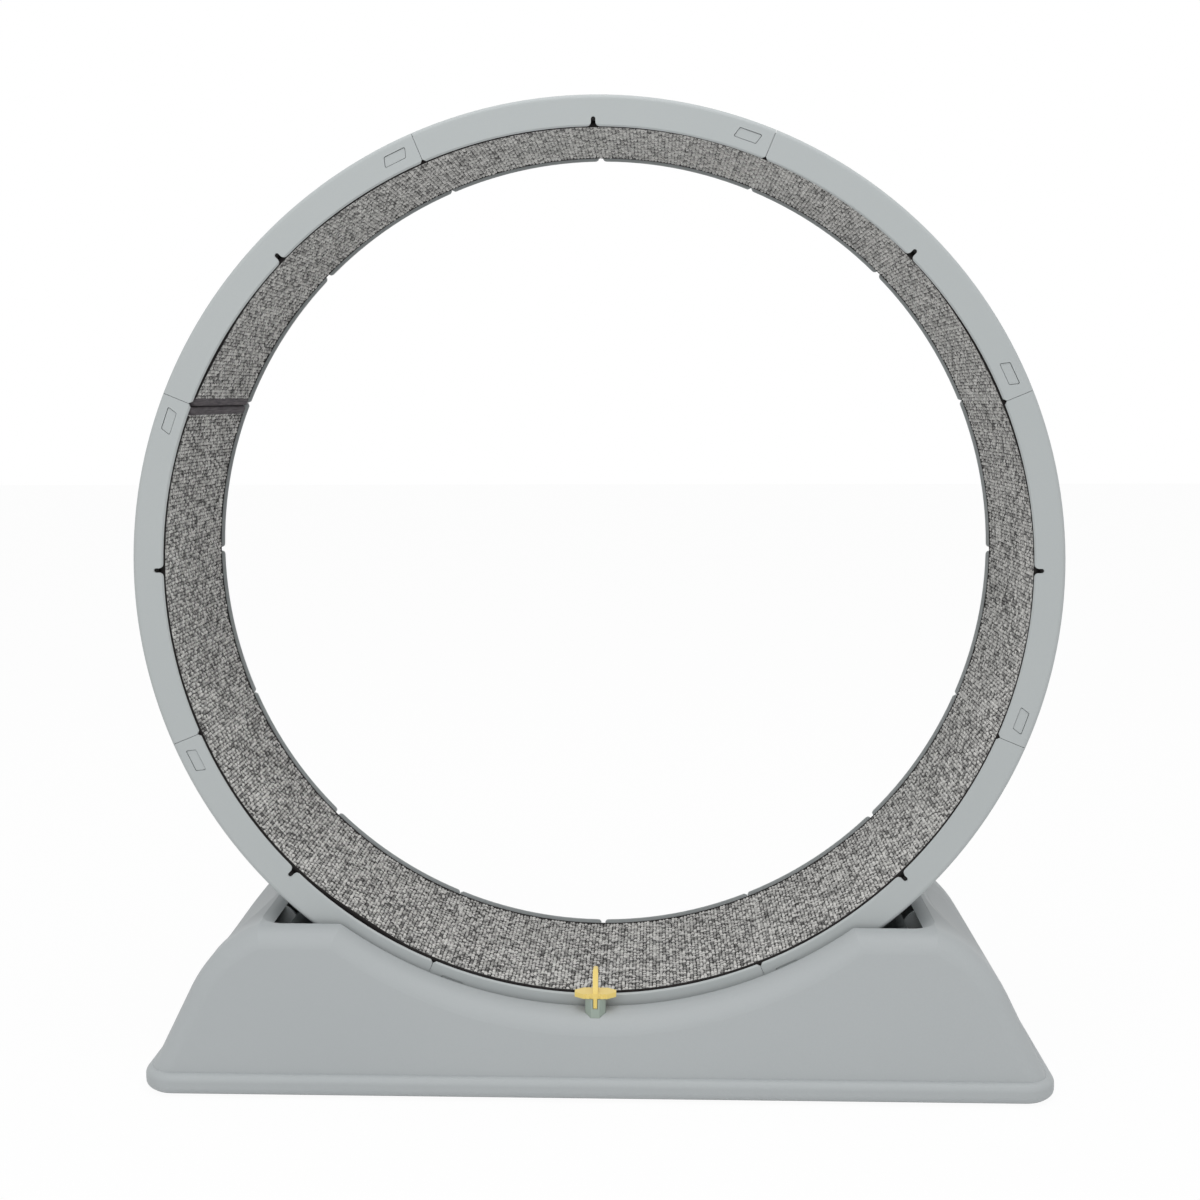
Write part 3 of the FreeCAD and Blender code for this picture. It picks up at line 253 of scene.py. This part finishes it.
# Polyester tape folded over the cut ends: dark, streaked and slightly furry.
binding_tape = woven_tape("binding_woven_polyester", "353235", "757073")

for node_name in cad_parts:
    finish = {"rim": rim_abs, "stand": stand_abs, "base": base_abs, "rubber": foot_rubber,
              "lock": guide_nylon, "axle": axle_ground, "bracket": screw_zinc,
              "track": backing_rubber, "carpet": binding_tape, "roller": hub_nylon}[node_name.split("_")[0]]
    put_on(node_name, finish)
put_on("base_screws", screw_zinc)
put_on("lock_key", key_acetal)
for end in ("left", "right"):
    put_on("roller_bracket_" + end, bracket_zinc)
    put_on("axle_clips_" + end, clip_spring)
    put_on("axle_sleeves_" + end, sleeve_nylon)
    for side in ("front", "rear"):
        put_on("roller_tyre_%s_%s" % (end, side), tyre_rubber)
        put_on("roller_bearings_%s_%s" % (end, side), bearing_ground)


# ---- The running track's carpet ----
def on_wheel(angle, y, radius):
    """A point of the wheel from its clockwise angle in degrees, depth and radius."""
    turn = radians(angle)
    return Vector((radius * sin(turn), y, WHEEL_HEIGHT + radius * cos(turn)))


def radii(node_name):
    """Inner and outer radius of a node that goes round the whole wheel."""
    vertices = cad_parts[node_name].data.vertices
    reach = [sqrt(v.co.x ** 2 + (v.co.z - WHEEL_HEIGHT) ** 2) for v in vertices]
    return min(reach), max(reach)


def strip_on_wheel(name, angles, section, radial_move=None):
    """A closed strip: a section of (y, radius) points carried round the wheel, with its flat map in metres."""
    mesh = bpy.data.meshes.new(name)
    work = bmesh.new()
    flat = work.loops.layers.uv.new("track")
    rings = []
    for angle in angles:
        ring = []
        for y, radius in section(angle):
            moved = radius + radial_move(angle, y, radius) if radial_move else radius
            ring.append(work.verts.new(on_wheel(angle, y, moved)))
        rings.append(ring)
    middle = section(angles[0])[0][1]
    count = len(rings[0])
    for step in range(len(rings) - 1):
        for side in range(count):
            following = (side + 1) % count
            corners = [(step, side), (step, following), (step + 1, following), (step + 1, side)]
            face = work.faces.new([rings[a][b] for a, b in corners])
            for loop, (a, b) in zip(face.loops, corners):
                loop[flat].uv = (radians(angles[a]) * middle, loop.vert.co.y)
            face.smooth = True
    for ring, order in ((rings[0], 1), (rings[-1], -1)):
        face = work.faces.new(ring[::-order])
        for loop in face.loops:
            loop[flat].uv = (loop.vert.co.x, loop.vert.co.y)
    bmesh.ops.recalc_face_normals(work, faces=work.faces)
    work.to_mesh(mesh)
    work.free()
    return place_object(name, mesh)


pile_low, pile_high = radii("track_carpet")
pile_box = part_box("track_carpet")
binding_low = radii("carpet_end_bindings")[0]
gap_angle = degrees(SEAM_GAP / 2 / pile_low)
bound_angle = gap_angle + degrees(BINDING_LENGTH / pile_low)


def edge_wander(angle):
    """How far the hand-cut front edge of the carpet stands back, in metres."""
    back = 0.0
    for middle, half_width, most in EDGE_BAYS:
        apart = (angle - middle + 180) % 360 - 180
        back += most * exp(-(apart / half_width) ** 2)
    turn = radians(angle)
    return (back + 0.8 * noise.noise(Vector((sin(turn) * 14, cos(turn) * 14, 7.7)))) * MM


def ground_section(angle):
    """The section of the carpet's ground: it carries the loops between two raised, sealed edges."""
    front = pile_box[0].y + edge_wander(angle)
    rear = pile_box[1].y
    soft = 0.4 * MM
    top = pile_low + 0.3 * MM
    low = pile_low + 0.7 * LOOP_HEIGHT
    return [(front, pile_high), (front, top + soft), (front + soft, top), (front + FRONT_SEAL, top),
            (front + FRONT_SEAL + soft, low), (rear - REAR_SEAL - soft, low), (rear - REAR_SEAL, top),
            (rear - soft, top), (rear, top + soft), (rear, pile_high)]


first_angle = SEAM_ANGLE + bound_angle
pile_sweep = 360 - 2 * bound_angle
ground_angles = [first_angle + pile_sweep * i / GROUND_STEPS for i in range(GROUND_STEPS + 1)]
ground = strip_on_wheel("carpet_ground", ground_angles, ground_section)
# The ground's near-black colour is partly painted shade in the gaps between the loops.
ground.data.materials.append(latex_ground_with_painted_shade)
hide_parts("track_carpet")
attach(ground, "wheel")


def loop_field_tree(name, material):
    """Geometry nodes: a flat field of yarn loops in rows, each turned, sized and shaded by chance."""
    tree = bpy.data.node_groups.new(name, "GeometryNodeTree")
    for label, kind in (("Rows", "Int"), ("Loops In A Row", "Int"), ("Row Pitch", "Float"),
                        ("Loop Pitch", "Float"), ("Loop Height", "Float"), ("Seed", "Int")):
        tree.interface.new_socket(label, in_out="INPUT", socket_type="NodeSocket" + kind)
    tree.interface.new_socket("Geometry", in_out="OUTPUT", socket_type="NodeSocketGeometry")
    given = add(tree, "NodeGroupInput").outputs
    length = add(tree, "ShaderNodeMath", {0: given["Rows"], 1: given["Row Pitch"]}, operation="MULTIPLY")
    width = add(tree, "ShaderNodeMath", {0: given["Loops In A Row"], 1: given["Loop Pitch"]},
                operation="MULTIPLY")
    field = add(tree, "GeometryNodeMeshGrid",
                {"Size X": length.outputs[0], "Size Y": width.outputs[0], "Vertices X": given["Rows"],
                 "Vertices Y": given["Loops In A Row"]})
    aside = add(tree, "FunctionNodeRandomValue", {0: (-0.55 * MM, -0.6 * MM, -0.2 * MM),
                                                  1: (0.55 * MM, 0.6 * MM, 0.3 * MM), "Seed": given["Seed"]},
                data_type="FLOAT_VECTOR")
    spots = add(tree, "GeometryNodeSetPosition", {"Geometry": field.outputs["Mesh"],
                                                  "Offset": aside.outputs[0]})
    ball = add(tree, "GeometryNodeMeshIcoSphere", {"Radius": 1.0, "Subdivisions": 1})
    height = add(tree, "ShaderNodeSeparateXYZ", {0: add(tree, "GeometryNodeInputPosition").outputs[0]})
    below = add(tree, "ShaderNodeMath", {0: height.outputs["Z"], 1: -0.9}, operation="LESS_THAN")
    dome = add(tree, "GeometryNodeDeleteGeometry", {"Geometry": ball.outputs["Mesh"],
                                                    "Selection": below.outputs[0]})
    soft = add(tree, "GeometryNodeSetShadeSmooth", {"Geometry": dome.outputs[0]})
    half_row = add(tree, "ShaderNodeMath", {0: given["Row Pitch"], 1: 0.56}, operation="MULTIPLY")
    half_loop = add(tree, "ShaderNodeMath", {0: given["Loop Pitch"], 1: 0.6}, operation="MULTIPLY")
    size = add(tree, "ShaderNodeCombineXYZ", {0: half_row.outputs[0], 1: half_loop.outputs[0],
                                              2: given["Loop Height"]})
    loop = add(tree, "GeometryNodeTransform", {"Geometry": soft.outputs[0], "Scale": size.outputs[0]})
    turned = add(tree, "FunctionNodeRandomValue", {0: (-0.25, -0.25, -0.7), 1: (0.25, 0.25, 0.7),
                                                   "Seed": given["Seed"]}, data_type="FLOAT_VECTOR")
    sized = add(tree, "FunctionNodeRandomValue", {2: 0.82, 3: 1.14, "Seed": given["Seed"]},
                data_type="FLOAT")
    loops = add(tree, "GeometryNodeInstanceOnPoints",
                {"Points": spots.outputs[0], "Instance": loop.outputs[0], "Rotation": turned.outputs[0],
                 "Scale": sized.outputs[1]})
    grey = add(tree, "FunctionNodeRandomValue", {2: 0.0, 3: 1.0, "Seed": given["Seed"]}, data_type="FLOAT")
    dyed = add(tree, "GeometryNodeStoreNamedAttribute",
               {"Geometry": loops.outputs[0], "Name": "yarn", "Value": grey.outputs[1]},
               data_type="FLOAT", domain="INSTANCE")
    real = add(tree, "GeometryNodeRealizeInstances", {"Geometry": dyed.outputs[0]})
    finished = add(tree, "GeometryNodeSetMaterial", {"Geometry": real.outputs[0], "Material": material})
    add(tree, "NodeGroupOutput", {"Geometry": finished.outputs[0]})
    return tree


def evaluated_piece(name, tree, values):
    """A plain mesh object from a node tree with the given input values."""
    holder = place_object(name, bpy.data.meshes.new(name))
    modifier = holder.modifiers.new("loops", "NODES")
    modifier.node_group = tree
    for item in tree.interface.items_tree:
        if item.in_out == "INPUT":
            modifier[item.identifier] = values[item.name]
    seen = holder.evaluated_get(bpy.context.evaluated_depsgraph_get())
    plain = bpy.data.meshes.new_from_object(seen)
    holder.modifiers.clear()
    holder.data = plain
    return holder


def lay_on_track(mesh, start, width):
    """Bends a flat field of loops onto the wheel: X runs round the track and Y across it."""
    places = np.empty(len(mesh.vertices) * 3, dtype=np.float32)
    mesh.vertices.foreach_get("co", places)
    flat = places.reshape(-1, 3)
    middle = start + pile_sweep / PILE_PARTS / 2
    turns = middle + np.degrees(flat[:, 0] / pile_low)
    known = np.arange(middle - 40, middle + 40, 0.5)
    fronts = np.interp(turns, known, [pile_box[0].y + edge_wander(angle) for angle in known])
    share = flat[:, 1] / width + 0.5
    front_space = FRONT_SEAL + LOOP_PITCH / 2
    rear_space = REAR_SEAL + LOOP_PITCH / 2
    depth = pile_box[1].y - rear_space - fronts - front_space
    radius = pile_low + LOOP_HEIGHT - flat[:, 2]
    round_ = np.radians(turns)
    laid = np.stack([radius * np.sin(round_), fronts + front_space + share * depth,
                     WHEEL_HEIGHT + radius * np.cos(round_)], axis=1)
    mesh.vertices.foreach_set("co", laid.astype(np.float32).ravel())
    mesh.flip_normals()
    mesh.update()


loop_tree = loop_field_tree("loop_field", carpet_wool)
part_length = radians(pile_sweep / PILE_PARTS) * pile_low
rows = round(part_length / ROW_PITCH)
loops_in_row = round((pile_box[1].y - pile_box[0].y) / LOOP_PITCH)
for part in range(PILE_PARTS):
    pile = evaluated_piece("carpet_loops_%d" % (part + 1), loop_tree, {
        "Rows": rows, "Loops In A Row": loops_in_row, "Row Pitch": part_length / rows,
        "Loop Pitch": LOOP_PITCH, "Loop Height": LOOP_HEIGHT, "Seed": FIRST_SEED + part})
    lay_on_track(pile.data, first_angle + pile_sweep * part / PILE_PARTS, loops_in_row * LOOP_PITCH)
    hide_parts("track_carpet")
    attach(pile, "wheel")


def binding_section(angle):
    """A folded tape round the carpet's end: full in its middle and soft at its sides."""
    front = pile_box[0].y + edge_wander(SEAM_ANGLE) + 0.5 * MM
    rear = pile_box[1].y - 0.5 * MM
    soft = 2.0 * MM
    low = binding_low + 0.2 * MM
    top = [(front, low + soft), (front + 0.6 * MM, low + 0.6 * MM)]
    top += [(front + soft + (rear - front - 2 * soft) * i / 30, low) for i in range(31)]
    top += [(rear - 0.6 * MM, low + 0.6 * MM), (rear, low + soft)]
    return [(front, pile_high)] + top + [(rear, pile_high)]


def bound_end(name, start, finish):
    """One bound end of the carpet, with its rounded folds."""
    def fold(angle, y, radius):
        if radius > pile_high - 0.1 * MM:
            return 0.0
        along = (angle - start) / (finish - start) * 2 - 1
        drop = (1 - sqrt(max(0.0, 1 - abs(along) ** 3 * 0.98))) * 2.4 * MM
        return drop + noise.noise(on_wheel(angle, y, radius) / (7 * MM)) * 0.25 * MM

    angles = [start + (finish - start) * i / BINDING_STEPS for i in range(BINDING_STEPS + 1)]
    return strip_on_wheel(name, angles, binding_section, fold)


bindings = [bound_end("binding_upper", SEAM_ANGLE + gap_angle, SEAM_ANGLE + bound_angle),
            bound_end("binding_lower", SEAM_ANGLE - bound_angle, SEAM_ANGLE - gap_angle)]
for binding in bindings:
    binding.data.materials.append(binding_tape)
    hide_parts("carpet_end_bindings")
    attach(binding, "wheel")


# ---- The stand's end panels ----
def end_panel(name, side):
    """The thin floor of the hollow in one end of the stand: side is 1 on the right and -1 on the left."""
    rings, spokes = PANEL_RINGS, PANEL_SPOKES
    run = Vector((HOLLOW_RUN[0], 0, HOLLOW_RUN[1]))
    outward = Vector((-HOLLOW_RUN[1], 0, HOLLOW_RUN[0]))
    middle = Vector((HOLLOW_MIDDLE[0], 0, HOLLOW_MIDDLE[1]))

    def spot(share, spoke, sunk):
        turn = 2 * pi * spoke / spokes
        along = share * PANEL_HALF_RUN * cos(turn)
        y = share * PANEL_HALF_WIDTH * sin(turn)
        rise = HOLLOW_ABOVE_CHORD + HOLLOW_RADIUS - sqrt(HOLLOW_RADIUS ** 2 - y ** 2) - sunk
        place = middle + run * along + outward * rise
        return (side * place.x, y, place.z)

    points = [spot(0, 0, -0.2 * MM)]
    for ring in range(1, rings + 1):
        share = ring / rings
        sunk = -0.2 * MM if ring < rings else 0.1 * MM
        points += [spot(share, spoke, sunk) for spoke in range(spokes)]
    points += [spot(1, spoke, PANEL_WALL) for spoke in range(spokes)]
    points.append(spot(0, 0, PANEL_WALL))
    last = len(points) - 1
    faces = [(0, 1 + spoke, 1 + (spoke + 1) % spokes) for spoke in range(spokes)]
    for ring in range(rings):
        low, high = 1 + ring * spokes, 1 + (ring + 1) * spokes
        faces += [(low + spoke, high + spoke, high + (spoke + 1) % spokes, low + (spoke + 1) % spokes)
                  for spoke in range(spokes)]
    floor_ring = 1 + rings * spokes
    faces += [(floor_ring + spoke, last, floor_ring + (spoke + 1) % spokes) for spoke in range(spokes)]
    mesh = bpy.data.meshes.new(name)
    mesh.from_pydata(points, [], faces)
    work = bmesh.new()
    work.from_mesh(mesh)
    bmesh.ops.recalc_face_normals(work, faces=work.faces)
    work.to_mesh(mesh)
    work.free()
    for polygon in mesh.polygons:
        polygon.use_smooth = polygon.index < spokes * rings
    return place_object(name, mesh)


for side, end in ((1, "right"), (-1, "left")):
    panel = end_panel("stand_end_panel_" + end, side)
    panel.data.materials.append(stand_abs)
    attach(panel, "stand")


# ---- Stage, light and camera ----
def backdrop_material():
    """Pale studio floor: white to the camera and in gloss, softly shaded under the object."""
    material = bpy.data.materials.new("studio_floor_paper")
    material.use_nodes = True
    tree = material.node_tree
    tree.nodes.clear()
    path = add(tree, "ShaderNodeLightPath")
    seen = add(tree, "ShaderNodeMath", {0: path.outputs["Is Camera Ray"], 1: path.outputs["Is Glossy Ray"]},
               operation="MAXIMUM")
    share = add(tree, "ShaderNodeMath", {0: seen.outputs[0], 1: 0.95}, operation="MULTIPLY")
    fibre = add(tree, "ShaderNodeTexNoise", {"Scale": 40.0, "Detail": 2.0})
    tone = add(tree, "ShaderNodeMix", {0: fibre.outputs["Fac"], 6: linear("efefef"), 7: linear("f6f6f6")},
               data_type="RGBA")
    paper = add(tree, "ShaderNodeBsdfDiffuse", {"Color": tone.outputs[2]})
    white = add(tree, "ShaderNodeEmission", {"Color": (1, 1, 1, 1), "Strength": 1.0})
    mixed = add(tree, "ShaderNodeMixShader", {0: share.outputs[0], 1: paper.outputs[0], 2: white.outputs[0]})
    add(tree, "ShaderNodeOutputMaterial", {"Surface": mixed.outputs[0]})
    return material


floor_mesh = bpy.data.meshes.new("floor")
floor_mesh.from_pydata([(FLOOR_REACH * x, FLOOR_REACH * y, 0) for x, y in ((-1, -1), (1, -1), (1, 1), (-1, 1))],
                       [], [(0, 1, 2, 3)])
floor = place_object("floor", floor_mesh)
floor.data.materials.append(backdrop_material())

world = bpy.data.worlds.new("studio")
bpy.context.scene.world = world
world.use_nodes = True
sky = world.node_tree
sky.nodes.clear()
sky_path = add(sky, "ShaderNodeLightPath")
sky_seen = add(sky, "ShaderNodeMath", {0: sky_path.outputs["Is Camera Ray"],
                                       1: sky_path.outputs["Is Glossy Ray"]}, operation="MAXIMUM")
sky_strength = add(sky, "ShaderNodeMapRange", {"Value": sky_seen.outputs[0], "To Min": 0.62, "To Max": 1.0})
sky_light = add(sky, "ShaderNodeBackground", {"Color": (1, 1, 1, 1), "Strength": sky_strength.outputs[0]})
add(sky, "ShaderNodeOutputWorld", {"Surface": sky_light.outputs[0]})


def soft_box(name, place, aim, size, power):
    """A square studio light that faces a point."""
    lamp = bpy.data.lights.new(name, "AREA")
    lamp.shape = "SQUARE"
    lamp.size = size
    lamp.energy = power
    holder = place_object(name, lamp)
    holder.location = place
    holder.rotation_euler = (Vector(aim) - Vector(place)).to_track_quat("-Z", "Y").to_euler()


soft_box("light_over", (0.1, -0.9, 3.4), (0, 0, 0.4), 2.4, 46)
soft_box("light_front", (-0.6, -3.4, 1.9), (0, 0, 0.5), 2.0, 22)

camera_data = bpy.data.cameras.new("camera")
camera_data.lens = CAMERA_LENS
camera_data.shift_y = CAMERA_SHIFT
camera_data.sensor_width = 36.0
camera_data.clip_end = 60.0
camera = place_object("camera", camera_data)
left, down, roll = (radians(turn) for turn in CAMERA_TURN)
camera.matrix_world = (Matrix.Translation(CAMERA_PLACE) @ Matrix.Rotation(-left, 4, "Z")
                       @ Matrix.Rotation(pi / 2 - down, 4, "X") @ Matrix.Rotation(roll, 4, "Z"))
bpy.context.scene.camera = camera
bpy.context.scene.view_settings.view_transform = "Standard"
